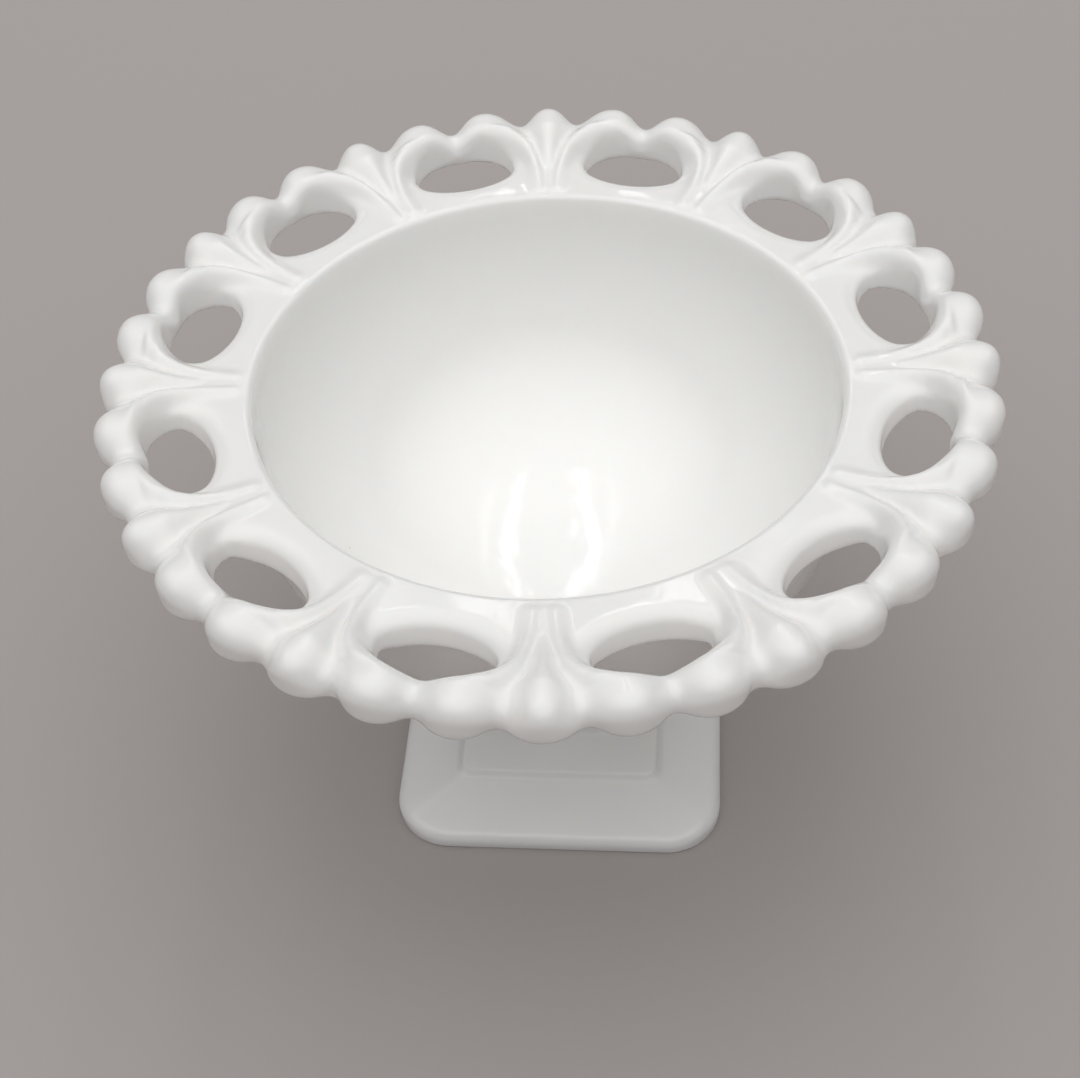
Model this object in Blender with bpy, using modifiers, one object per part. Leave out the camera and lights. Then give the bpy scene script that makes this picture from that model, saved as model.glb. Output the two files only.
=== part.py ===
"""Footed milk-glass stand: a deep round bowl with an open lace border on a square pedestal.

Two pressings and the hot-glass wafer between them. The bowl pressing is modelled as two bodies that
meet on one level plane, the cup below and the lace border above. Metres, +Z up, with the origin on
the table under the middle of the foot. The foot's sides are square to X and Y.
"""

from math import cos, pi, radians, sin, sqrt

import bmesh
import bpy
from mathutils import Matrix, Vector

# Overall sizes
MOUTH_RADIUS = 0.0673  # inside the bowl, at the band
BORDER_WIDTH = 0.0352  # mouth to the tip of an edge lobe
BAND_HEIGHT = 0.1277  # table to the flat band round the bowl's mouth
BORDER_TURN = radians(3.3)  # the bowl was set on its foot a little turned
JOIN_GAP = 0.0003  # between neighbouring bodies

# Bowl
BOWL_DEPTH = 0.0600  # band to the lowest point inside
WALL = 0.0060  # glass at the mouth
FLOOR = 0.0075  # glass under the lowest point inside
BOWL_ROUNDNESS = 2.5  # 2 is an ellipse, more is squarer
MOUTH_EDGE = 0.0012  # rounding where the band turns down into the bowl
BOWL_STEPS = 11  # points down each side of the cup
SEAT_MARGIN = 1.1  # the curve outside ends this many wafer radii from the axis

# Lace border
REPEATS = 12  # openings, with one petal between each two
BORDER_THICKNESS = 0.0085  # at the bowl, where the underside is level
EDGE_BOTTOM = 0.0053  # the underside rises outwards to this far below the band
LOBE_RADIUS = 0.0108
LOBE_TOP = 0.0050  # crest of a lobe above the band
NOTCH_DROP = 0.0026  # how much lower the crest is between two lobes
EDGE_ROUNDING = 0.0040
THINNEST_FLAT = 0.04  # of the edge's thickness, left between its upper and lower roundings
BAND_WIDTH = 0.0058  # mouth to the near side of an opening
LOOP_REACH = 0.0088  # far side of an opening to the lobe tip
OPENING_HALF_WIDTH = 0.0132  # along the rim, at band height
OPENING_DRAFT = 0.0016  # how much the sides close in towards the underside
BAND_SIDE_DRAFT = 0.0028  # the same, on the side next to the band
RIDGE_START = 0.0010  # height at which the ridges begin on the band
RIDGE_SHARES = (0.12, 0.35, 0.6, 0.82)  # points along a ridge, from its start to its crest
BAND_SHARE = 0.8  # of the band's width that stays level
FAN_SQUEEZE = 0.9  # how closely the ridges run together at the band
OPENING_SIDES = 22
CUTTER_REACH = 0.0040  # past the glass above and below
WELD_DISTANCE = 0.00001

# Wafer and pedestal
WAFER_RADIUS = 0.0150
WAFER_THICKNESS = 0.0032
FOOT_WIDTH = 0.0854
FOOT_CORNER = 0.0145
FOOT_EDGE = 0.0047  # height of the upright edge with its rounding
FOOT_ROUNDING = 0.0022
FOOT_EASE = 0.0008  # bevel at the table
SLOPE_START = 0.9  # of a quarter turn, where the rounding meets the slope of the foot
PAD_WIDTH = 0.0512
FOOT_RISE = 0.0045  # how much the foot slopes up from its edge to the pad
PAD_HEIGHT = 0.0020  # of the step round the pad
PAD_CORNER = 0.0030
PAD_FLARE = 0.0005  # how much the pad's step spreads at its foot
PAD_STEP = ((0.0, 0.2), (0.1, 0.7), (0.4, 1.0))  # shares of the step's height: inset, height
STEM_BASE = 0.0250  # widths of the stem, which ends as wide as the wafer
STEM_WAIST = 0.0180
STEM_CORNER = 0.0028
STEM_FILLET = 0.0030
STEM_STEPS = 12
WAIST_SHARE = 0.45  # of the stem's height, from its base
ROUNDEST = 0.98  # the largest corner radius, as a share of half the width

TURN_STEPS = 60
MILK_WHITE = (0.86, 0.86, 0.84, 1.0)


def clear_scene():
    for obj in list(bpy.data.objects):
        bpy.data.objects.remove(obj, do_unlink=True)


def new_collection(name):
    made = bpy.data.collections.new(name)
    bpy.context.scene.collection.children.link(made)
    return made


def milk_glass(name):
    glass = bpy.data.materials.new(name)
    glass.use_nodes = True
    shader = glass.node_tree.nodes["Principled BSDF"]
    shader.inputs["Base Color"].default_value = MILK_WHITE
    shader.inputs["Roughness"].default_value = 0.12
    shader.inputs["Metallic"].default_value = 0.0
    glass.diffuse_color = MILK_WHITE
    return glass


def object_from(bm, name, collection):
    mesh = bpy.data.meshes.new(name)
    bm.to_mesh(mesh)
    bm.free()
    obj = bpy.data.objects.new(name, mesh)
    collection.objects.link(obj)
    return obj


def finish(obj):
    obj.data.materials.append(milk_glass(obj.name + "_glass"))
    obj.data.shade_smooth()
    obj.data.set_sharp_from_angle(angle=radians(35))


def turned(name, profile, collection):
    """A body turned about Z: the profile runs down its outer side."""
    bm = bmesh.new()
    points = [bm.verts.new((r, 0.0, z)) for r, z in profile]
    for a, b in zip(points, points[1:]):
        bm.edges.new((a, b))
    obj = object_from(bm, name, collection)
    screw = obj.modifiers.new("turn", "SCREW")
    screw.steps = TURN_STEPS
    screw.render_steps = TURN_STEPS
    screw.use_merge_vertices = True
    screw.merge_threshold = 0.00005
    screw.use_smooth_shade = True
    return obj


def arc(centre, radius, start, end, steps):
    """Points of a round stretch of a profile, angles in degrees from straight out."""
    angles = [radians(start + (end - start) * k / steps) for k in range(steps + 1)]
    return [(centre[0] + radius * cos(a), centre[1] + radius * sin(a)) for a in angles]


def join_loops(bm, first, second):
    """Faces between two closed rings of the same number of points."""
    for a, b in zip(range(len(first)), [*range(1, len(first)), 0]):
        bm.faces.new((first[a], first[b], second[b], second[a]))


# ---- bowl ----


def bowl_radius(radius, depth, below):
    """Of a bowl's curve at a level below the band."""
    return radius * (1.0 - (below / depth) ** BOWL_ROUNDNESS) ** (1.0 / BOWL_ROUNDNESS)


def bowl_curve(radius, depth, top_depth):
    """Points (r, z) of a bowl's curve from top_depth below the band down to the axis."""
    share = top_depth / depth
    start = share ** (BOWL_ROUNDNESS / 2)
    points = []
    for k in range(BOWL_STEPS + 1):
        s = start + (1.0 - start) * sin(pi / 2 * k / BOWL_STEPS)
        z_share = s ** (2 / BOWL_ROUNDNESS)
        r_share = max(0.0, 1.0 - s * s) ** (1 / BOWL_ROUNDNESS)
        points.append((radius * r_share, BAND_HEIGHT - depth * z_share))
    points[-1] = (0.0, BAND_HEIGHT - depth)
    return points


def make_bowl(collection):
    top = BORDER_THICKNESS + JOIN_GAP
    inside = bowl_curve(MOUTH_RADIUS, BOWL_DEPTH, top)
    outside = bowl_curve(MOUTH_RADIUS + WALL, BOWL_DEPTH + FLOOR, top)
    seat_z = BAND_HEIGHT - BOWL_DEPTH - FLOOR
    outside = [(r, z) for r, z in outside if r > SEAT_MARGIN * WAFER_RADIUS]
    seat = [(WAFER_RADIUS, seat_z), (0.0, seat_z)]
    bowl = turned("bowl", list(reversed(inside)) + outside + seat, collection)
    finish(bowl)
    return bowl


# ---- lace border ----
# Twelve lines to a repeat run out from the mouth. Step 0 is a petal's crest, steps 2 and -2 are the
# grooves beside it, steps 4 and -4 the crests of the loops' lobes, and step 6 the cleft of a loop.

LINES_PER_LOBE = 4
LINES_PER_REPEAT = 3 * LINES_PER_LOBE
LINE_ANGLE = 2 * pi / (REPEATS * LINES_PER_REPEAT)


def tip_radius():
    return MOUTH_RADIUS + BORDER_WIDTH


def lobe_ring():
    return tip_radius() - LOBE_RADIUS


def outer_radius(step):
    """The scalloped outline: round lobes that meet in notches."""
    half = LINES_PER_LOBE // 2
    away = ((step + half) % LINES_PER_LOBE - half) * LINE_ANGLE
    return lobe_ring() * cos(away) + sqrt(LOBE_RADIUS**2 - (lobe_ring() * sin(away)) ** 2)


def crest_height(step):
    deepest = tip_radius() - outer_radius(LINES_PER_LOBE // 2)
    return LOBE_TOP - NOTCH_DROP * (tip_radius() - outer_radius(step)) / deepest


def fan_angle(step, share):
    """The lines run together beside a petal at the band (share 0) and fan out to the edge (1)."""
    half = LINES_PER_REPEAT / 2
    bend = 1.0 + FAN_SQUEEZE * (1.0 - share)
    return half * LINE_ANGLE * (abs(step) / half) ** bend * (1 if step > 0 else -1)


def border_line(step):
    """Points (radius, angle, height) of one line, once round the glass from the mouth."""
    outer = outer_radius(step)
    top = crest_height(step)
    band_end = MOUTH_RADIUS + BAND_WIDTH * BAND_SHARE
    rounding = min(EDGE_ROUNDING, (top + EDGE_BOTTOM) * (1.0 - THINNEST_FLAT) / 2)
    crest = outer - rounding
    inner = bowl_radius(MOUTH_RADIUS, BOWL_DEPTH, BORDER_THICKNESS)
    points = [(inner, 0.0, -BORDER_THICKNESS)]
    for r, z in arc((MOUTH_RADIUS + MOUTH_EDGE, -MOUTH_EDGE), MOUTH_EDGE, 180, 90, 3):
        points.append((r, 0.0, z))
    points.append((band_end, 0.0, 0.0))
    for share in RIDGE_SHARES:
        height = RIDGE_START + (top - RIDGE_START) * share
        points.append((band_end + (crest - band_end) * share, share, height))
    for r, z in arc((crest, top - rounding), rounding, 90, 0, 3):
        points.append((r, 1.0, z))
    for r, z in arc((crest, rounding - EDGE_BOTTOM), rounding, 0, -90, 2):
        points.append((r, 1.0, z))
    under = bowl_radius(MOUTH_RADIUS + WALL, BOWL_DEPTH + FLOOR, BORDER_THICKNESS)
    points.append((under, 0.0, -BORDER_THICKNESS))
    return [(r, fan_angle(step, share), z) for r, share, z in points]


def add_line(bm, index):
    half = LINES_PER_REPEAT // 2
    petal, step = divmod(index + half, LINES_PER_REPEAT)
    verts = []
    for radius, angle, height in border_line(step - half):
        turn = petal_angle(petal) + angle
        verts.append(bm.verts.new((radius * cos(turn), radius * sin(turn), BAND_HEIGHT + height)))
    return verts


def petal_angle(index):
    return 2 * pi * index / REPEATS - pi / 2 + BORDER_TURN


def opening_centre():
    return MOUTH_RADIUS + (BAND_WIDTH + BORDER_WIDTH - LOOP_REACH) / 2


def opening_half_depth():
    return (BORDER_WIDTH - LOOP_REACH - BAND_WIDTH) / 2


def make_openings(collection):
    """Tapered oval cutters that close in towards the underside."""
    bm = bmesh.new()
    clear_of_lines = Matrix.Rotation(pi / OPENING_SIDES, 4, "Z")  # no cutter edge on a border line
    low, high = -BORDER_THICKNESS - CUTTER_REACH, LOBE_TOP + CUTTER_REACH
    for index in range(REPEATS):
        place = Matrix.Rotation(petal_angle(index) + pi / REPEATS, 4, "Z")
        made = bmesh.ops.create_cone(
            bm,
            cap_ends=True,
            segments=OPENING_SIDES,
            radius1=1.0,
            radius2=1.0,
            depth=2.0,
            matrix=clear_of_lines,
        )
        for vert in made["verts"]:
            z = high if vert.co.z > 0 else low
            draft = OPENING_DRAFT * z / BORDER_THICKNESS
            inward = BAND_SIDE_DRAFT * z / BORDER_THICKNESS if vert.co.x < 0 else draft
            x = opening_centre() + (opening_half_depth() + inward) * vert.co.x
            y = (OPENING_HALF_WIDTH + draft) * vert.co.y
            vert.co = place @ Vector((x, y, BAND_HEIGHT + z))
    openings = object_from(bm, "openings", collection)
    openings.display_type = "WIRE"
    openings.hide_render = True
    return openings


def make_border(collection, cutters):
    bm = bmesh.new()
    lines = [add_line(bm, index) for index in range(REPEATS * LINES_PER_REPEAT)]
    for near, far in zip(lines, lines[1:] + lines[:1]):
        join_loops(bm, near, far)
    border = object_from(bm, "lace_border", collection)
    pierce = border.modifiers.new("pierce", "BOOLEAN")
    pierce.operation = "DIFFERENCE"
    pierce.solver = "EXACT"
    pierce.object = make_openings(cutters)
    weld = border.modifiers.new("weld", "WELD")
    weld.merge_threshold = WELD_DISTANCE
    finish(border)
    return border


# ---- wafer ----


def wafer_bottom():
    return BAND_HEIGHT - BOWL_DEPTH - FLOOR - JOIN_GAP - WAFER_THICKNESS


def make_wafer(collection):
    half = WAFER_THICKNESS / 2
    middle = wafer_bottom() + half
    edge = arc((WAFER_RADIUS - half, middle), half, 90, -90, 4)
    profile = [(0.0, middle + half)] + edge + [(0.0, middle - half)]
    wafer = turned("joining_wafer", profile, collection)
    finish(wafer)
    return wafer


# ---- pedestal ----


def pad_foot():
    return FOOT_EDGE + FOOT_RISE


def pad_top():
    return pad_foot() + PAD_HEIGHT


def rounded_square(half, corner, z, arc_steps=4):
    corner = min(corner, half * ROUNDEST)
    ring = []
    for quarter in range(4):
        middle = quarter * pi / 2 + pi / 4
        centre = Vector((half - corner, half - corner, 0))
        centre.rotate(Matrix.Rotation(quarter * pi / 2, 3, "Z"))
        for k in range(arc_steps + 1):
            a = middle + (k / arc_steps - 0.5) * pi / 2
            ring.append((centre.x + corner * cos(a), centre.y + corner * sin(a), z))
    return ring


def stem_sections():
    """Square and waisted from the pad up, turning round where it meets the wafer."""
    base, top = pad_top() + STEM_FILLET, wafer_bottom() - JOIN_GAP
    sections = []
    for k in range(4):
        a = pi / 2 * k / 3
        spread = STEM_FILLET * (1 - sin(a))
        height = base - STEM_FILLET * cos(a)
        sections.append((STEM_BASE / 2 + spread, STEM_CORNER + spread, height))
    for k in range(1, STEM_STEPS + 1):
        share = k / STEM_STEPS
        if share < WAIST_SHARE:
            pull = (1 - share / WAIST_SHARE) ** 2
            half = STEM_WAIST / 2 + (STEM_BASE - STEM_WAIST) / 2 * pull
        else:
            pull = ((share - WAIST_SHARE) / (1 - WAIST_SHARE)) ** 2
            half = STEM_WAIST / 2 + (WAFER_RADIUS - STEM_WAIST / 2) * pull
        corner = STEM_CORNER + (half - STEM_CORNER) * share**2
        sections.append((half, corner, base + (top - base) * share))
    return sections


def slope_height(x, y):
    """The foot's top: four slopes that meet in straight hips, from the edge up to the pad."""
    run = (FOOT_WIDTH - PAD_WIDTH) / 2 - PAD_FLARE
    return FOOT_EDGE + FOOT_RISE * (FOOT_WIDTH / 2 - max(abs(x), abs(y))) / run


def foot_rings():
    """Rings of points from the table up the edge, in over the slopes and up the pad's step."""
    half = FOOT_WIDTH / 2
    rings = [rounded_square(half - FOOT_EASE, FOOT_CORNER - FOOT_EASE, 0.0)]
    rings.append(rounded_square(half, FOOT_CORNER, FOOT_EASE))
    for k in range(4):
        a = pi / 2 * SLOPE_START * k / 3
        inset = FOOT_ROUNDING * (1 - cos(a))
        drop = FOOT_ROUNDING * (1 - sin(a))
        ring = rounded_square(half - inset, FOOT_CORNER - inset, 0.0)
        rings.append([(x, y, slope_height(x, y) - drop) for x, y, _ in ring])
    pad = PAD_WIDTH / 2
    ring = rounded_square(pad + PAD_FLARE, PAD_CORNER + PAD_FLARE, 0.0)
    rings.append([(x, y, slope_height(x, y)) for x, y, _ in ring])
    for inset, share in PAD_STEP:
        ring = rounded_square(pad - PAD_HEIGHT * inset, PAD_CORNER, 0.0)
        rings.append([(x, y, slope_height(x, y) * (1 - share) + pad_top() * share) for x, y, _ in ring])
    return rings


def make_pedestal(collection):
    bm = bmesh.new()
    outlines = foot_rings() + [rounded_square(*section) for section in stem_sections()]
    rings = [[bm.verts.new(point) for point in outline] for outline in outlines]
    for low, high in zip(rings, rings[1:]):
        join_loops(bm, low, high)
    bm.faces.new(list(reversed(rings[0])))
    bm.faces.new(rings[-1])
    pedestal = object_from(bm, "pedestal", collection)
    finish(pedestal)
    return pedestal


def main():
    clear_scene()
    stand = new_collection("lace_edge_stand")
    cutters = new_collection("cutters")
    make_pedestal(stand)
    make_wafer(stand)
    make_bowl(stand)
    make_border(stand, cutters)


main()
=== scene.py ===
"""Looks of the footed milk-glass bowl with its open lace border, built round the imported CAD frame."""

from math import atan2, cos, pi, radians, sin

import bmesh
import bpy
import numpy as np
from mathutils import Matrix, Vector


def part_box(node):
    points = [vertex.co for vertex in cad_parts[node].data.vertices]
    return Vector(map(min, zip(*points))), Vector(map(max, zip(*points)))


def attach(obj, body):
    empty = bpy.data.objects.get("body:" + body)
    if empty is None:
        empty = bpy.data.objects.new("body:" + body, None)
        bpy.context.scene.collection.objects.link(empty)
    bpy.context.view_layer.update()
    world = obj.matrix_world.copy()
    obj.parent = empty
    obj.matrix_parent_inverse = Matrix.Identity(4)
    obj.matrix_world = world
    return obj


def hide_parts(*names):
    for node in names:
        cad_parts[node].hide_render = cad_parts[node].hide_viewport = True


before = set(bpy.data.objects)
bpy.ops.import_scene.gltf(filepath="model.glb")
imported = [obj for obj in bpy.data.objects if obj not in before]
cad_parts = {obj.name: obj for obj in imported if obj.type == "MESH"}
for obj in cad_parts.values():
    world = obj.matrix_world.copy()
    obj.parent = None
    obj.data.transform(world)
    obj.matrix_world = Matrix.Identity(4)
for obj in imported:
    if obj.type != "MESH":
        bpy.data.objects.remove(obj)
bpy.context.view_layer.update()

MM = 0.001

# Places that come from the frame, in millimetres
BORDER_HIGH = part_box("lace_border")[1] / MM
WAFER_LOW, WAFER_HIGH = [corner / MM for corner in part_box("joining_wafer")]
FOOT_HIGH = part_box("pedestal")[1] / MM

# Lace border, in millimetres; heights are from the flat band round the mouth
REPEATS = 12  # openings, with a petal between each two
TURN = radians(3.3)  # the bowl was set on its foot a little turned
LOBE_TOP = 5.0
BAND = BORDER_HIGH.z - LOBE_TOP
TIP_RADIUS = 102.5
LOBE_RADIUS = 9.0
VALLEY_FILLET = 4.0  # between neighbouring lobes
LOBE_STEP = 2 * pi / (3 * REPEATS)
MOUTH_RADIUS = 67.3
MOUTH_EDGE = 1.6  # rounding from the band into the bowl
BOWL_DEPTH = 60.0
WALL = 6.0
FLOOR = 7.5
ROUNDNESS = 2.5  # power of the bowl's curve: 2 is an ellipse, more is fuller
UNDER_BOWL, UNDER_EDGE = -8.5, -5.3  # underside of the border, at the bowl and at the edge
UNDER_EDGE_INSET = 4.0
UNDER_RELIEF, RELIEF_REACH = 1.7, 4.5  # how far it rises at an opening's outer side
TOP_ROUNDING, UNDER_ROUNDING = 4.5, 2.8
RING_OVERLAP = 1.0  # how far the solid ring reaches past the middles of the lobes
WALL_TOP, WALL_FILLET = -4.0, 2.0
RIDGE_START = 69.0  # radius where the ridges begin on the band
RIDGE_EASE = 2.6  # and how far they take to rise
CREST_FROM = 93.0  # radius where they reach their full height
CREST_START, CREST_POWER = 0.55, 1.9
VALLEY_START, VALLEY_RISE, VALLEY_POWER = 0.3, 2.1, 1.8
PETAL_RISE = LOBE_TOP - VALLEY_START - VALLEY_RISE
BAND_RISE = 0.25
CREASE_SOFTNESS, SWELL_POWER = 0.45, 2.3
OPENING_AT = 83.4  # radius of an opening's middle
OPENING_IN, OPENING_OUT, OPENING_WIDTH = 7.2, 9.3, 13.2  # half sizes at the band
DRAFT_IN, DRAFT_OUT, DRAFT_WIDTH = 0.15, 0.17, 0.21  # how fast they grow with height
# Arm of a loop and the groove between it and the petal: radius, and distances from the petal's axis
ARM_RADII = (70.0, 71.5, 76.0, 79.1, 82.1, 85.1, 87.7, 89.8, 91.9, 93.4, 94.5)
ARM_CRESTS = (2.0, 2.1, 2.4, 2.9, 3.6, 4.5, 5.9, 7.8, 10.3, 13.1, 16.4)
GROOVES = (0.9, 0.95, 1.2, 1.6, 2.1, 2.7, 3.4, 4.2, 5.2, 6.0, 6.6)
ARM_FEET = (4.4, 5.5, 5.8, 6.1, 6.7, 8.2, 9.8, 11.4, 14.4, 17.2, 19.4)  # where its outer slope ends
NOTCH_LOW, NOTCH_HIGH = radians(5.2), radians(4.15)  # angle of the notch beside a petal, by height
CUSP, CUSP_WIDTH, CUSP_REACH = 1.5, 3.2, 6.0  # where the loop's two lobes meet
INNER_REACH = 5.0  # distance inwards over which an opening's inner side takes over
EDGE_LOW, EDGE_LOW_INNER = 0.9, 0.6  # roundings of an opening's edges, and what is added at its inner side
EDGE_TOP, EDGE_TOP_INNER, EDGE_TOP_CUSP = 2.4, 1.2, 1.8
# Where features fade in: the radius or height where they start, and over how much
NOTCH_FADE = (93.4, 4.0)
PETAL_FADE = (77.0, 17.0)
CLEFT_FADE = (87.0, 5.0)
SLOPE_FADE = (84.0, 8.0)
LEAN_FADE = (-4.5, 7.5)
CUSP_FADE = (-8.0, 9.0)
EDGE_FADE = (-5.0, 5.0)

# Fineness of the border's mesh
CELLS_PER_REPEAT = 54
CELL_R = 0.72
CELL_Z = 0.66
RELAX_ROUNDS = 3
RELAX_STEP = 0.6
GRADIENT_STEP = 0.02
LONGEST_MOVE = 0.4
FIELD_R0, FIELD_R1 = 68.9, 104.0
FIELD_Z0, FIELD_Z1 = -13.3, 6.6
MOUTH_EDGE_STEPS, MOUTH_STEPS, OUTER_STEPS = 4, 40, 34
INNER_THINNING, OUTER_THINNING = 66.0, 70.5  # radii where the bowl's rings first halve their points
THINNINGS = (30.0, 12.0)  # and where they halve them again


def clamp(x):
    return np.clip(x, 0.0, 1.0)


def smooth(x):
    x = clamp(x)
    return x * x * (3.0 - 2.0 * x)


def fade(x, span):
    """0 up to the span's start, then rising smoothly to 1 over its length."""
    start, length = span
    return smooth((x - start) / length)


def round_both(a, b, radius):
    """Inside both a and b (negative inside), with their shared edge rounded."""
    u, v = np.maximum(a + radius, 0.0), np.maximum(b + radius, 0.0)
    return np.minimum(np.maximum(a, b), -radius) + np.hypot(u, v)


def round_either(a, b, radius):
    """Inside a or b, with a fillet where they meet."""
    return -round_both(-a, -b, radius)


def swell(t):
    """Cross-section of half a petal: 0 in the groove, 1 at the crest."""
    soft = CREASE_SOFTNESS
    t = np.sqrt(clamp(t) ** 2 + soft**2) - soft
    return 1.0 - (1.0 - clamp(t / (np.sqrt(1 + soft**2) - soft))) ** SWELL_POWER


def curve_radius(radius, depth, below):
    share = clamp(below / depth)
    return radius * (1.0 - share**ROUNDNESS) ** (1.0 / ROUNDNESS)


def top_height(r, a):
    """Height of the border's upper side at radius r and angle a from the petal's axis."""
    across = r * a
    run = clamp((r - RIDGE_START) / (CREST_FROM - RIDGE_START))
    outer = fade(r, NOTCH_FADE)
    arm = np.interp(r, ARM_RADII, ARM_CRESTS)
    arm = np.where(r > ARM_RADII[-1], r * LOBE_STEP, arm)
    groove = np.interp(r, ARM_RADII, GROOVES)
    groove = groove + (r * NOTCH_HIGH - groove) * outer
    foot = np.interp(r, ARM_RADII, ARM_FEET)

    crest = CREST_START + (LOBE_TOP - CREST_START) * run**CREST_POWER
    valley = VALLEY_START + VALLEY_RISE * run**VALLEY_POWER
    petal_crest = valley + PETAL_RISE * fade(r, PETAL_FADE)
    flat = BAND_RISE * run

    on_petal = valley + (petal_crest - valley) * swell(1.0 - across / groove)
    rise = swell((across - groove) / np.maximum(arm - groove, 0.3))
    cleft = swell((LOBE_STEP * 1.5 - a) / (LOBE_STEP / 2))
    rise = rise * (1.0 - fade(r, CLEFT_FADE) * (1.0 - cleft))
    on_arm = valley + (crest - valley) * rise
    ridge = np.where(across < groove, on_petal, on_arm)
    beyond = smooth((across - arm) / np.maximum(foot - arm, 0.5)) * (1.0 - fade(r, SLOPE_FADE))
    ridge = ridge + (flat - ridge) * beyond
    return ridge * fade(r, (RIDGE_START, RIDGE_EASE))


def outline_field(r, a, z):
    """Negative inside the border's outline: the ring of lobes, with notches that lean by height."""
    ring = TIP_RADIUS - LOBE_RADIUS
    lean = NOTCH_LOW + (NOTCH_HIGH - NOTCH_LOW) * fade(z, LEAN_FADE)
    b = np.interp(a / lean, (0.0, 1.0), (0.0, 0.5)) * LOBE_STEP
    past = LOBE_STEP / 2 + (a - lean) * (LOBE_STEP / 2) / (LOBE_STEP - lean)
    b = np.where(a > lean, np.minimum(past, LOBE_STEP), b)
    b = np.where(a > LOBE_STEP, a, b)
    x, y = r * np.cos(b), r * np.sin(b)
    lobes = []
    for n in range(3):
        middle_x, middle_y = ring * cos(n * LOBE_STEP), ring * sin(n * LOBE_STEP)
        lobes.append(np.hypot(x - middle_x, y - middle_y) - LOBE_RADIUS)
    petal_lobe, arm_lobe, next_lobe = lobes
    outline = round_either(round_either(petal_lobe, arm_lobe, VALLEY_FILLET), next_lobe, VALLEY_FILLET)
    return np.minimum(outline, r - (ring + RING_OVERLAP))


def border_field(r, angle, z):
    """Negative inside the glass. angle is from a petal's axis, z from the band."""
    half = pi / REPEATS
    a = np.abs((angle + half) % (2 * half) - half)

    # Opening: an oval that widens upwards, with a cusp where the loop's two lobes meet
    ox = r * np.cos(half - a) - OPENING_AT
    oy = r * np.sin(half - a)
    at_cusp = np.exp(-((oy / CUSP_WIDTH) ** 2)) * smooth(ox / CUSP_REACH)
    inner = smooth(-ox / INNER_REACH)
    depth = np.where(ox < 0, OPENING_IN + DRAFT_IN * z, OPENING_OUT + DRAFT_OUT * z)
    width = OPENING_WIDTH + DRAFT_WIDTH * z
    ox = ox + CUSP * fade(z, CUSP_FADE) * at_cusp
    e = np.sqrt((ox / depth) ** 2 + (oy / width) ** 2) + 1e-9
    slope = np.sqrt((ox / depth**2) ** 2 + (oy / width**2) ** 2) / e + 1e-9
    opening = (e - 1.0) / slope

    top = z - top_height(r, a)
    under_from = MOUTH_RADIUS + WALL
    under_share = clamp((r - under_from) / (TIP_RADIUS - UNDER_EDGE_INSET - under_from))
    under = UNDER_BOWL + (UNDER_EDGE - UNDER_BOWL) * under_share
    under = under + UNDER_RELIEF * (1.0 - inner) * np.exp(-((opening / RELIEF_REACH) ** 2)) - z
    solid = round_both(top, outline_field(r, a, z), TOP_ROUNDING)
    solid = round_both(solid, under, UNDER_ROUNDING)
    edge_low = EDGE_LOW + EDGE_LOW_INNER * inner
    edge_top = EDGE_TOP + EDGE_TOP_INNER * inner + EDGE_TOP_CUSP * at_cusp
    edge = edge_low + (edge_top - edge_low) * fade(z, EDGE_FADE)
    solid = round_both(solid, -opening, edge)

    wall = r - curve_radius(MOUTH_RADIUS + WALL, BOWL_DEPTH + FLOOR, -z)
    wall = np.maximum(wall, z - WALL_TOP)
    return round_either(solid, wall, WALL_FILLET)


def towards_surface(r, angle, z, rim_top, rim_low):
    """One step of points onto the surface; a rim's points keep their angle and one coordinate."""
    step = GRADIENT_STEP
    f = border_field(r, angle, z)
    gr = (border_field(r + step, angle, z) - border_field(r - step, angle, z)) / (2 * step)
    ga = (border_field(r, angle + step / r, z) - border_field(r, angle - step / r, z)) / (2 * step)
    gz = (border_field(r, angle, z + step) - border_field(r, angle, z - step)) / (2 * step)
    gr, ga = np.where(rim_top, 0.0, gr), np.where(rim_top | rim_low, 0.0, ga)
    gz = np.where(rim_low, 0.0, gz)
    size = gr**2 + ga**2 + gz**2 + 1e-6
    move = np.clip(f / size, -LONGEST_MOVE, LONGEST_MOVE)
    return r - move * gr, angle - move * ga / r, z - move * gz


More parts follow.
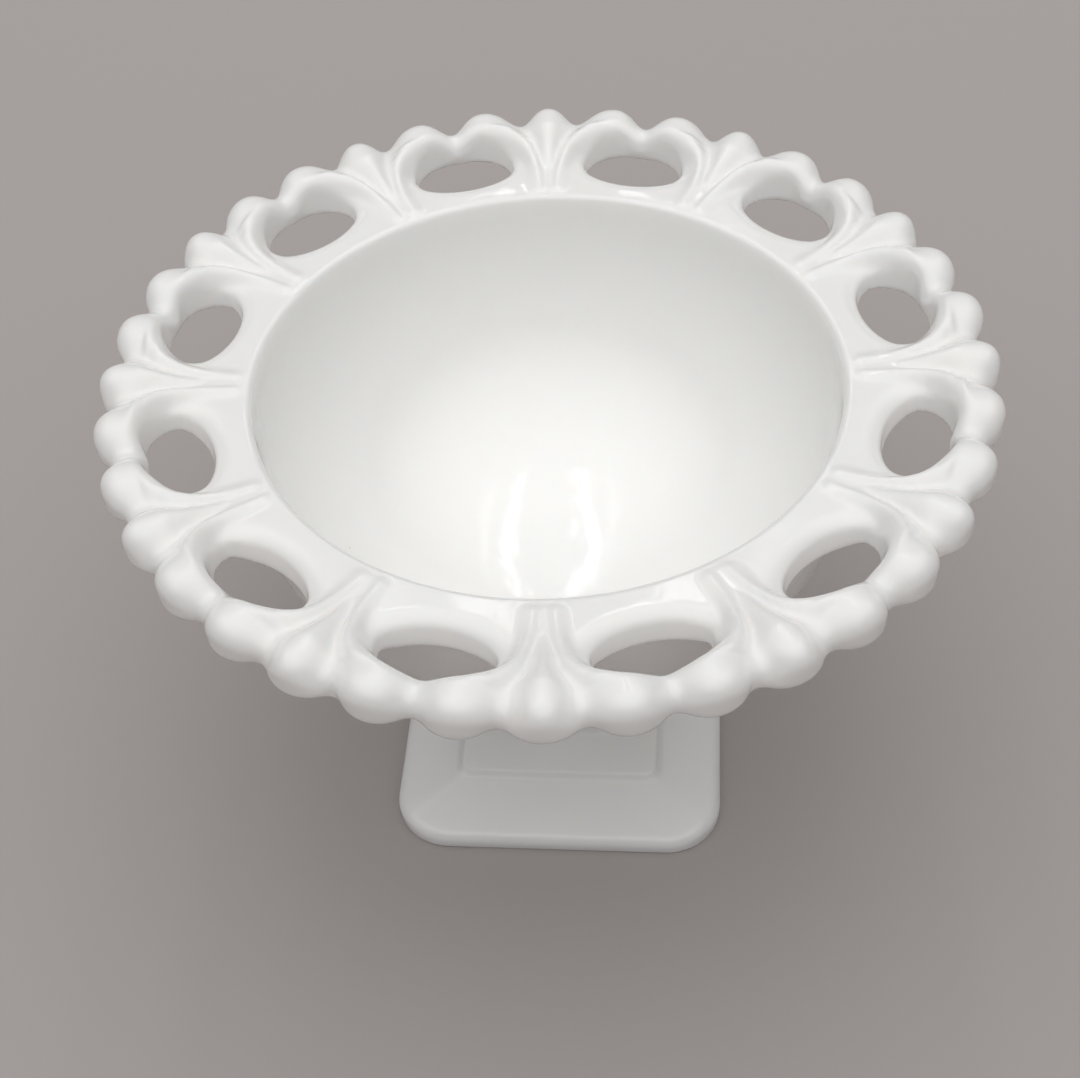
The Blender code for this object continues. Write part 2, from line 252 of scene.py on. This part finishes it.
def surface_of_border():
    """Points (r, angle, z) and faces of the border's surface, from the field's sign on a polar grid.

    Each cell that the surface crosses gets one point, and each grid edge that it crosses one face.
    """
    per = CELLS_PER_REPEAT
    rs = np.arange(FIELD_R0, FIELD_R1, CELL_R)
    zs = np.arange(FIELD_Z0, FIELD_Z1, CELL_Z)
    da = 2 * pi / REPEATS / per
    angles = (np.arange(per) - per / 2) * da
    field = border_field(rs[:, None, None], angles[None, :, None], zs[None, None, :])
    inside = field < 0

    corners = [(i, j, k) for i in (0, 1) for j in (0, 1) for k in (0, 1)]
    wrapped = np.concatenate([field, field[:, :1]], axis=1)
    values = {}
    for i, j, k in corners:
        values[i, j, k] = wrapped[i : len(rs) - 1 + i, j : per + j, k : len(zs) - 1 + k]
    count = sum((v < 0).astype(int) for v in values.values())
    active = (count > 0) & (count < 8)
    cell_i, cell_j, cell_k = np.nonzero(active)
    total = np.zeros((3, len(cell_i)))
    hits = np.zeros(len(cell_i))
    for a in corners:
        for b in corners:
            if sum(b) - sum(a) != 1 or any(q < p for p, q in zip(a, b)):
                continue
            va, vb = values[a][active], values[b][active]
            crossed = (va < 0) != (vb < 0)
            share = np.where(crossed, va / np.where(crossed, va - vb, 1.0), 0.0)
            for axis in range(3):
                total[axis] += crossed * (a[axis] + share * (b[axis] - a[axis]))
            hits += crossed
    local = total / hits
    r = rs[0] + (cell_i + local[0]) * CELL_R
    angle = angles[0] + (cell_j + local[1]) * da
    z = zs[0] + (cell_k + local[2]) * CELL_Z

    rim_top = cell_i == 0
    rim_low = cell_k == 0
    angle = np.where(rim_top | rim_low, angles[0] + (cell_j + 0.5) * da, angle)
    r = np.where(rim_top, rs[0] + CELL_R / 2, r)
    z = np.where(rim_low, zs[0] + CELL_Z / 2, z)
    for _ in range(4):
        r, angle, z = towards_surface(r, angle, z, rim_top, rim_low)

    # All twelve repeats share the same cells, turned
    cells = per * REPEATS
    numbers = -np.ones((len(rs) - 1, per, len(zs) - 1), int)
    numbers[active] = np.arange(len(r))
    in_repeat = len(r)
    turned = [np.where(numbers >= 0, numbers + m * in_repeat, -1) for m in range(REPEATS)]
    numbers = np.concatenate(turned, axis=1)
    points = []
    for m in range(REPEATS):
        points.append(np.stack([r, angle + 2 * pi * m / REPEATS, z], axis=1))
    points = np.concatenate(points)
    inside = np.tile(inside, (1, REPEATS, 1))

    faces = []
    around = np.arange(cells)
    before = (around - 1) % cells
    # Edges along r, round the ring and along z; the four cells about each make a face
    a, b = inside[:-1, :, 1:-1], inside[1:, :, 1:-1]
    lower, upper = numbers[:, :, :-1], numbers[:, :, 1:]
    quads = [lower[:, before], lower[:, around], upper[:, around], upper[:, before]]
    faces += pick_faces(a, b, quads)
    a, b = inside[1:-1, :, 1:-1], np.roll(inside, -1, axis=1)[1:-1, :, 1:-1]
    quads = [numbers[:-1, :, :-1], numbers[:-1, :, 1:], numbers[1:, :, 1:], numbers[1:, :, :-1]]
    faces += pick_faces(a, b, quads)
    a, b = inside[1:-1, :, :-1], inside[1:-1, :, 1:]
    nearer, farther = numbers[:-1], numbers[1:]
    quads = [nearer[:, before], farther[:, before], farther[:, around], nearer[:, around]]
    faces += pick_faces(a, b, quads)

    top_rim = [numbers[0, j].max() for j in around]
    low_rim = [numbers[:, j, 0].max() for j in around]
    points = relaxed(points, faces, np.tile(rim_top, REPEATS), np.tile(rim_low, REPEATS))
    return points, faces, top_rim, low_rim


def relaxed(points, faces, rim_top, rim_low):
    """Evens out the mesh: points slide towards the middle of their neighbours, along the surface."""
    loops = np.array(faces)
    a, b = loops.ravel(), np.roll(loops, -1, axis=1).ravel()
    count = np.bincount(a, minlength=len(points)) + np.bincount(b, minlength=len(points))
    r, angle, z = points.T
    for _ in range(RELAX_ROUNDS):
        xyz = np.stack([r * np.cos(angle), r * np.sin(angle), z])
        total = [np.bincount(a, row[b], len(points)) + np.bincount(b, row[a], len(points)) for row in xyz]
        moved = xyz + RELAX_STEP * (np.stack(total) / count - xyz)
        xyz = np.where(rim_top | rim_low, xyz, moved)
        r, angle, z = np.hypot(xyz[0], xyz[1]), np.arctan2(xyz[1], xyz[0]), xyz[2]
        for _ in range(2):
            r, angle, z = towards_surface(r, angle, z, rim_top, rim_low)
    return np.stack([r, angle, z], axis=1)


def pick_faces(a, b, quads):
    """Faces round the grid edges whose ends lie on different sides, turned to face outwards."""
    made = []
    for crossing, order in ((a & ~b, (0, 1, 2, 3)), (~a & b, (3, 2, 1, 0))):
        made.append(np.stack([quads[n][crossing] for n in order], axis=1))
    return [tuple(int(n) for n in face) for face in np.concatenate(made)]


def curve_points(radius, depth, start, steps):
    """Points (r, z) down a curve of the bowl, from below its start to just above its lowest point."""
    first = (start / depth) ** (ROUNDNESS / 2)
    points = []
    for k in range(1, steps):
        s = first + (1 - first) * sin(pi / 2 * k / steps)
        r = radius * max(0.0, 1 - s * s) ** (1 / ROUNDNESS)
        points.append((r, -depth * s ** (2 / ROUNDNESS)))
    return points


def mouth_profile():
    """Points (r, z) from the band into the bowl and down to its lowest point."""
    points = []
    for k in range(MOUTH_EDGE_STEPS + 1):
        a = pi / 2 * (1 + k / MOUTH_EDGE_STEPS)
        points.append((MOUTH_RADIUS + MOUTH_EDGE * (1 + cos(a)), MOUTH_EDGE * (sin(a) - 1)))
    return points + curve_points(MOUTH_RADIUS, BOWL_DEPTH, MOUTH_EDGE, MOUTH_STEPS)


def outer_profile(start):
    """Points (r, z) from the border's underside down the outside of the bowl to its seat."""
    return curve_points(MOUTH_RADIUS + WALL, BOWL_DEPTH + FLOOR, start, OUTER_STEPS)


def lathe_on(bm, rim, profile, first_thinning):
    """Carries a ring of points along a profile to its pole, halving their number at some radii."""
    ring = rim
    thin_at = [first_thinning, *THINNINGS]
    for r, z in profile:
        halve = thin_at and r < thin_at[0]
        if halve:
            thin_at.pop(0)
        sources = ring[::2] if halve else ring
        new = []
        for vert in sources:
            turn = np.arctan2(vert.co.y, vert.co.x)
            new.append(bm.verts.new((r * cos(turn), r * sin(turn), BAND + z)))
        count = len(new)
        for n in range(count):
            m = (n + 1) % count
            if halve:
                a, b, c = ring[2 * n], ring[2 * n + 1], ring[(2 * n + 2) % len(ring)]
                bm.faces.new((a, b, new[n]))
                bm.faces.new((b, new[m], new[n]))
                bm.faces.new((b, c, new[m]))
            else:
                bm.faces.new((ring[n], ring[m], new[m], new[n]))
        ring = new
    pole = bm.verts.new((0.0, 0.0, ring[0].co.z))
    for n in range(len(ring)):
        bm.faces.new((ring[n], ring[(n + 1) % len(ring)], pole))


def object_from(bm, name):
    bmesh.ops.recalc_face_normals(bm, faces=bm.faces)
    bmesh.ops.scale(bm, vec=(MM, MM, MM), verts=bm.verts)
    mesh = bpy.data.meshes.new(name)
    bm.to_mesh(mesh)
    bm.free()
    mesh.shade_smooth()
    obj = bpy.data.objects.new(name, mesh)
    bpy.context.scene.collection.objects.link(obj)
    return obj


def make_bowl():
    points, faces, top_rim, low_rim = surface_of_border()
    bm = bmesh.new()
    turn = points[:, 1] - pi / 2 + TURN
    xs, ys = points[:, 0] * np.cos(turn), points[:, 0] * np.sin(turn)
    verts = [bm.verts.new((x, y, BAND + z)) for x, y, z in zip(xs, ys, points[:, 2])]
    for face in faces:
        bm.faces.new([verts[n] for n in face])
    lathe_on(bm, [verts[n] for n in top_rim], mouth_profile(), INNER_THINNING)
    below_band = -points[low_rim[0], 2]
    lathe_on(bm, [verts[n] for n in low_rim], outer_profile(below_band), OUTER_THINNING)
    return object_from(bm, "bowl_with_lace_border")


# ---- pedestal ----

FOOT_HALF = FOOT_HIGH.x
FOOT_CORNER = 14.5
FOOT_EDGE = 4.7  # height of the foot's edge, from which its top slopes up
FOOT_RISE = 4.5
FOOT_ROUNDING = 2.2  # of the edge above, and FOOT_EASE of the one below
FOOT_ROUNDING_ARC = 0.87  # share of a quarter turn, as the slope isn't level
FOOT_SKIRT = 0.5  # straight stretch between the two roundings
FOOT_EASE = 0.8
HIP_ROUNDING = 0.4
SLOPE_SHARES = (0.05, 0.12, 0.25, 0.4, 0.55, 0.7, 0.84, 0.94, 1.0)
PAD_HALF = 25.6
PAD_FLARE = 1.4
PAD_TOP = 11.2
PAD_CORNER = 3.0
# Profile of the pad's side: inset from its half width, and share of its height
PAD_STEPS = ((-0.95, 0.1), (-0.6, 0.3), (-0.3, 0.55), (-0.05, 0.8), (0.12, 0.92), (0.35, 0.985), (0.7, 1.0))
PAD_INNER = 3.0
STEM_FILLET = 3.0
STEM_BASE = 12.5
STEM_WAIST = 9.0
STEM_CORNER = 2.8
STEM_STEPS = 30
WAIST_SHARE = 0.45


def rounded_square(half, corner, z, steps=12, side_steps=6):
    """A ring with round corners, and points along its sides too."""
    corner = min(corner, half * 0.98)
    arcs = []
    for quarter in range(4):
        spin = Matrix.Rotation(quarter * pi / 2, 3, "Z")
        arc = []
        for k in range(steps + 1):
            a = pi / 2 * k / steps
            p = Vector((half - corner + corner * cos(a), half - corner + corner * sin(a), z))
            arc.append(spin @ p)
        arcs.append(arc)
    ring = []
    for arc, following in zip(arcs, arcs[1:] + arcs[:1]):
        ring += arc
        for k in range(1, side_steps):
            ring.append(arc[-1].lerp(following[0], k / side_steps))
    return ring


def slope_height(x, y):
    """The foot's top: four slopes that meet in hips, slightly rounded, from the edge up to the pad."""
    x, y = abs(x), abs(y)
    reach = (x + y + ((x - y) ** 2 + HIP_ROUNDING**2) ** 0.5) / 2
    return FOOT_EDGE + FOOT_RISE * (FOOT_HALF - reach) / (FOOT_HALF - PAD_HALF - PAD_FLARE)


def foot_rings():
    """Rings of points up the foot: its underside's edge, side, slopes and the pad."""
    rings = []
    for k in range(4):
        a = pi / 2 * k / 3
        inset = FOOT_EASE * (1 - sin(a))
        rings.append(rounded_square(FOOT_HALF - inset, FOOT_CORNER - inset, FOOT_EASE * (1 - cos(a))))

    def on_slope(half, corner, drop):
        return [Vector((p.x, p.y, slope_height(p.x, p.y) - drop)) for p in rounded_square(half, corner, 0.0)]

    rings.append(on_slope(FOOT_HALF, FOOT_CORNER, FOOT_ROUNDING + FOOT_SKIRT))
    steps = 8
    for k in range(steps + 1):
        a = pi / 2 * FOOT_ROUNDING_ARC * k / steps
        inset = FOOT_ROUNDING * (1 - cos(a))
        drop = FOOT_ROUNDING * (1 - sin(a)) + 0.03
        rings.append(on_slope(FOOT_HALF - inset, FOOT_CORNER - inset, drop))
    start = FOOT_HALF - inset
    for share in SLOPE_SHARES:
        half = start + (PAD_HALF + PAD_FLARE - start) * share
        corner = FOOT_CORNER - inset + (PAD_CORNER + PAD_FLARE - FOOT_CORNER + inset) * share
        rings.append(on_slope(half, corner, 0.0))
    for inset, share in PAD_STEPS:
        ring = []
        for p in rounded_square(PAD_HALF - inset, PAD_CORNER - min(inset, 0.5), 0.0):
            height = slope_height(p.x, p.y) * (1 - share) + PAD_TOP * share
            ring.append(Vector((p.x, p.y, height)))
        rings.append(ring)
    rings.append(rounded_square(PAD_HALF - PAD_INNER, PAD_CORNER, PAD_TOP))
    return rings


def stem_sections():
    """Half width, corner radius and height of the stem's sections, which turn from square to round."""
    top = FOOT_HIGH.z
    fillet = STEM_FILLET
    sections = []
    for k in range(6):
        a = pi / 2 * k / 5
        half = STEM_BASE + fillet * (1 - sin(a))
        sections.append((half, STEM_CORNER + half - STEM_BASE, PAD_TOP + fillet * (1 - cos(a))))
    base = PAD_TOP + fillet
    stem_top = WAFER_HIGH.x
    for k in range(1, STEM_STEPS + 1):
        share = k / STEM_STEPS
        if share < WAIST_SHARE:
            half = STEM_WAIST + (STEM_BASE - STEM_WAIST) * (1 - share / WAIST_SHARE) ** 2
        else:
            half = STEM_WAIST + (stem_top - STEM_WAIST) * ((share - WAIST_SHARE) / (1 - WAIST_SHARE)) ** 2
        corner = STEM_CORNER + (half - STEM_CORNER) * share**2
        sections.append((half, corner, base + (top - base) * share))
    return sections


def skinned(outlines):
    """A closed surface over outlines with equal numbers of points, from the lowest up."""
    bm = bmesh.new()
    rings = [[bm.verts.new(p) for p in outline] for outline in outlines]
    for low, high in zip(rings, rings[1:]):
        for n in range(len(low)):
            m = (n + 1) % len(low)
            bm.faces.new((low[n], low[m], high[m], high[n]))
    bm.faces.new(list(reversed(rings[0])))
    bm.faces.new(rings[-1])
    return bm


def make_pedestal():
    stem = [rounded_square(*section) for section in stem_sections()]
    return object_from(skinned(foot_rings() + stem), "pedestal_glass")


BEAD_SINK = 0.35  # how far the bead reaches into the bowl and the stem
BEAD_STEPS = 96


def make_wafer():
    """The bead of glass squeezed out where the stem was stuck to the bowl."""
    low, high = WAFER_LOW.z - BEAD_SINK, WAFER_HIGH.z + BEAD_SINK
    half = (high - low) / 2
    middle = (high + low) / 2
    rings = []
    for a in np.linspace(-pi / 2, pi / 2, 13):
        r, z = WAFER_HIGH.x - half + half * cos(a), middle + half * sin(a)
        turns = [2 * pi * k / BEAD_STEPS for k in range(BEAD_STEPS)]
        rings.append([(r * cos(turn), r * sin(turn), z) for turn in turns])
    return object_from(skinned(rings), "joining_bead")


# ---- materials ----

GLASS_COOL, GLASS_WARM = (0.94, 0.95, 0.942, 1.0), (0.96, 0.958, 0.945, 1.0)
GLASS_IOR, GLASS_ROUGHNESS = 1.5, 0.09
CLOUD_SCALE, CLOUD_SPAN = 22.0, (0.35, 0.65)
SCATTER_WEIGHT, SCATTER_SCALE = 0.55, 0.005
SCATTER_RADIUS = (1.0, 0.9, 0.85)
SEED_SCALE, SEED_SIZE, SEED_SHARE = 60.0, 0.018, 0.12
SEED_COLOUR = (0.42, 0.40, 0.38, 1.0)
PATCH_SCALE, GLOSS_ROUGHNESS = 35.0, (0.03, 0.12)
RIPPLE_SCALE, RIPPLE_STRENGTH, RIPPLE_HEIGHT = 130.0, 0.25, 0.0004


def node(tree, kind, **values):
    made = tree.nodes.new(kind)
    for name, value in values.items():
        if hasattr(made, name):
            setattr(made, name, value)
        else:
            made.inputs[name].default_value = value
    return made


def link(tree, source, output, target, socket):
    tree.links.new(source.outputs[output], target.inputs[socket])


def noise(tree, place, scale, detail):
    made = node(tree, "ShaderNodeTexNoise", Scale=scale, Detail=detail)
    link(tree, place, "Object", made, "Vector")
    return made


def clouded_colour(tree, place):
    """White glass with a slightly denser tint in clouds."""
    cloud = noise(tree, place, CLOUD_SCALE, 3.0)
    tint = node(tree, "ShaderNodeValToRGB")
    for element, position, colour in zip(tint.color_ramp.elements, CLOUD_SPAN, (GLASS_COOL, GLASS_WARM)):
        element.position = position
        element.color = colour
    link(tree, cloud, "Fac", tint, "Fac")
    return tint


def seed_mask(tree, place):
    """1 in a few tiny specks, the seeds in the glass."""
    seeds = node(tree, "ShaderNodeTexVoronoi", Scale=SEED_SCALE)
    link(tree, place, "Object", seeds, "Vector")
    dot = node(tree, "ShaderNodeMath", operation="LESS_THAN")
    dot.inputs[1].default_value = SEED_SIZE
    link(tree, seeds, "Distance", dot, 0)
    few = node(tree, "ShaderNodeSeparateColor")
    link(tree, seeds, "Color", few, "Color")
    chosen = node(tree, "ShaderNodeMath", operation="LESS_THAN")
    chosen.inputs[1].default_value = SEED_SHARE
    link(tree, few, "Red", chosen, 0)
    seed = node(tree, "ShaderNodeMath", operation="MULTIPLY")
    link(tree, dot, 0, seed, 0)
    link(tree, chosen, 0, seed, 1)
    return seed


def milk_glass(name):
    """Opaque white pressed glass: clouded white, a few seeds, fire-polished gloss and mould ripples."""
    glass = bpy.data.materials.new(name)
    glass.use_nodes = True
    tree = glass.node_tree
    shader = tree.nodes["Principled BSDF"]
    shader.inputs["Roughness"].default_value = GLASS_ROUGHNESS
    shader.inputs["IOR"].default_value = GLASS_IOR
    shader.inputs["Subsurface Weight"].default_value = SCATTER_WEIGHT
    shader.inputs["Subsurface Radius"].default_value = SCATTER_RADIUS
    shader.inputs["Subsurface Scale"].default_value = SCATTER_SCALE
    place = node(tree, "ShaderNodeTexCoord")

    mix = node(tree, "ShaderNodeMix", data_type="RGBA")
    mix.inputs["B"].default_value = SEED_COLOUR
    link(tree, seed_mask(tree, place), 0, mix, "Factor")
    link(tree, clouded_colour(tree, place), "Color", mix, "A")
    link(tree, mix, "Result", shader, "Base Color")

    patch = noise(tree, place, PATCH_SCALE, 4.0)
    gloss = node(tree, "ShaderNodeMapRange")
    gloss.inputs["To Min"].default_value, gloss.inputs["To Max"].default_value = GLOSS_ROUGHNESS
    link(tree, patch, "Fac", gloss, "Value")
    link(tree, gloss, "Result", shader, "Roughness")

    ripple = noise(tree, place, RIPPLE_SCALE, 2.0)
    bump = node(tree, "ShaderNodeBump", Strength=RIPPLE_STRENGTH, Distance=RIPPLE_HEIGHT)
    link(tree, ripple, "Fac", bump, "Height")
    link(tree, bump, "Normal", shader, "Normal")
    return glass


def add_piece(piece, material, *replaced):
    piece.data.materials.append(material)
    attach(piece, "root")
    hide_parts(*replaced)


# ---- stage ----

FLOOR_SIZE = 3.0
FLOOR_COLOUR = (0.42, 0.387, 0.382, 1.0)
FLOOR_ROUGHNESS = 0.9


def make_floor():
    bm = bmesh.new()
    bmesh.ops.create_grid(bm, x_segments=8, y_segments=8, size=FLOOR_SIZE)
    mesh = bpy.data.meshes.new("floor")
    bm.to_mesh(mesh)
    bm.free()
    floor = bpy.data.objects.new("floor", mesh)
    bpy.context.scene.collection.objects.link(floor)
    material = bpy.data.materials.new("floor")
    material.use_nodes = True
    shader = material.node_tree.nodes["Principled BSDF"]
    shader.inputs["Base Color"].default_value = FLOOR_COLOUR
    shader.inputs["Roughness"].default_value = FLOOR_ROUGHNESS
    mesh.materials.append(material)


BRIGHTEST = (0.0, -0.15, 1.0)  # towards the brightest part of the dome
DOME_COLOUR = (1.0, 0.99, 0.975, 1.0)
DOME_LOW, DOME_HIGH = 0.02, 1.58
DOME_FROM = 0.35  # cosine of the angle to BRIGHTEST at which the dome starts to brighten
# Strips for the gloss: x at the near end, x at the far end, power
STRIPS = ((0.18, 0.045, 0.12), (0.066, -0.034, 0.42), (-0.14, -0.159, 0.42), (-0.255, -0.19, 0.12))
STRIP_WIDTH, STRIP_LENGTH = 0.035, 0.95
STRIP_Y, STRIP_HEIGHT = 0.84, 1.09


def strip_light(near, far, power):
    """A long narrow lamp facing down, with x from near to far along its length."""
    data = bpy.data.lights.new("strip", "AREA")
    data.shape = "RECTANGLE"
    data.size, data.size_y = STRIP_WIDTH, STRIP_LENGTH
    data.energy = power
    lamp = bpy.data.objects.new("strip", data)
    bpy.context.scene.collection.objects.link(lamp)
    lamp.location = ((near + far) / 2, STRIP_Y, STRIP_HEIGHT)
    lamp.rotation_euler = (0.0, 0.0, -atan2(far - near, STRIP_LENGTH))


def make_lights():
    """Soft light all round, brightest overhead, and four narrow strips for the gloss."""
    world = bpy.data.worlds.new("studio")
    world.use_nodes = True
    tree = world.node_tree
    background = tree.nodes["Background"]
    background.inputs["Color"].default_value = DOME_COLOUR
    place = node(tree, "ShaderNodeTexCoord")
    height = node(tree, "ShaderNodeVectorMath", operation="DOT_PRODUCT")
    height.inputs[1].default_value = Vector(BRIGHTEST).normalized()
    tree.links.new(place.outputs["Generated"], height.inputs[0])
    dome = node(tree, "ShaderNodeMapRange", interpolation_type="SMOOTHSTEP")
    dome.inputs["From Min"].default_value = DOME_FROM
    dome.inputs["From Max"].default_value = 1.0
    dome.inputs["To Min"].default_value = DOME_LOW
    dome.inputs["To Max"].default_value = DOME_HIGH
    tree.links.new(height.outputs["Value"], dome.inputs["Value"])
    tree.links.new(dome.outputs["Result"], background.inputs["Strength"])
    scene = bpy.context.scene
    scene.world = world
    scene.view_settings.view_transform = "Standard"
    for strip in STRIPS:
        strip_light(*strip)


CAMERA_SENSOR, CAMERA_LENS = 36.0, 62.894
CAMERA_PLACE = (0.032505, -0.321682, 0.413489)
CAMERA_ANGLES = (43.5254, 2.4835, 3.8233)


def make_camera():
    """Above and in front of the near side of the rim, looking down into the bowl."""
    data = bpy.data.cameras.new("camera")
    data.sensor_width = CAMERA_SENSOR
    data.lens = CAMERA_LENS
    camera = bpy.data.objects.new("camera", data)
    bpy.context.scene.collection.objects.link(camera)
    camera.location = CAMERA_PLACE
    camera.rotation_euler = [radians(angle) for angle in CAMERA_ANGLES]
    bpy.context.scene.camera = camera


glass = milk_glass("milk_glass")
make_camera()
add_piece(make_bowl(), glass, "bowl", "lace_border")
add_piece(make_wafer(), glass, "joining_wafer")
add_piece(make_pedestal(), glass, "pedestal")
make_floor()
make_lights()
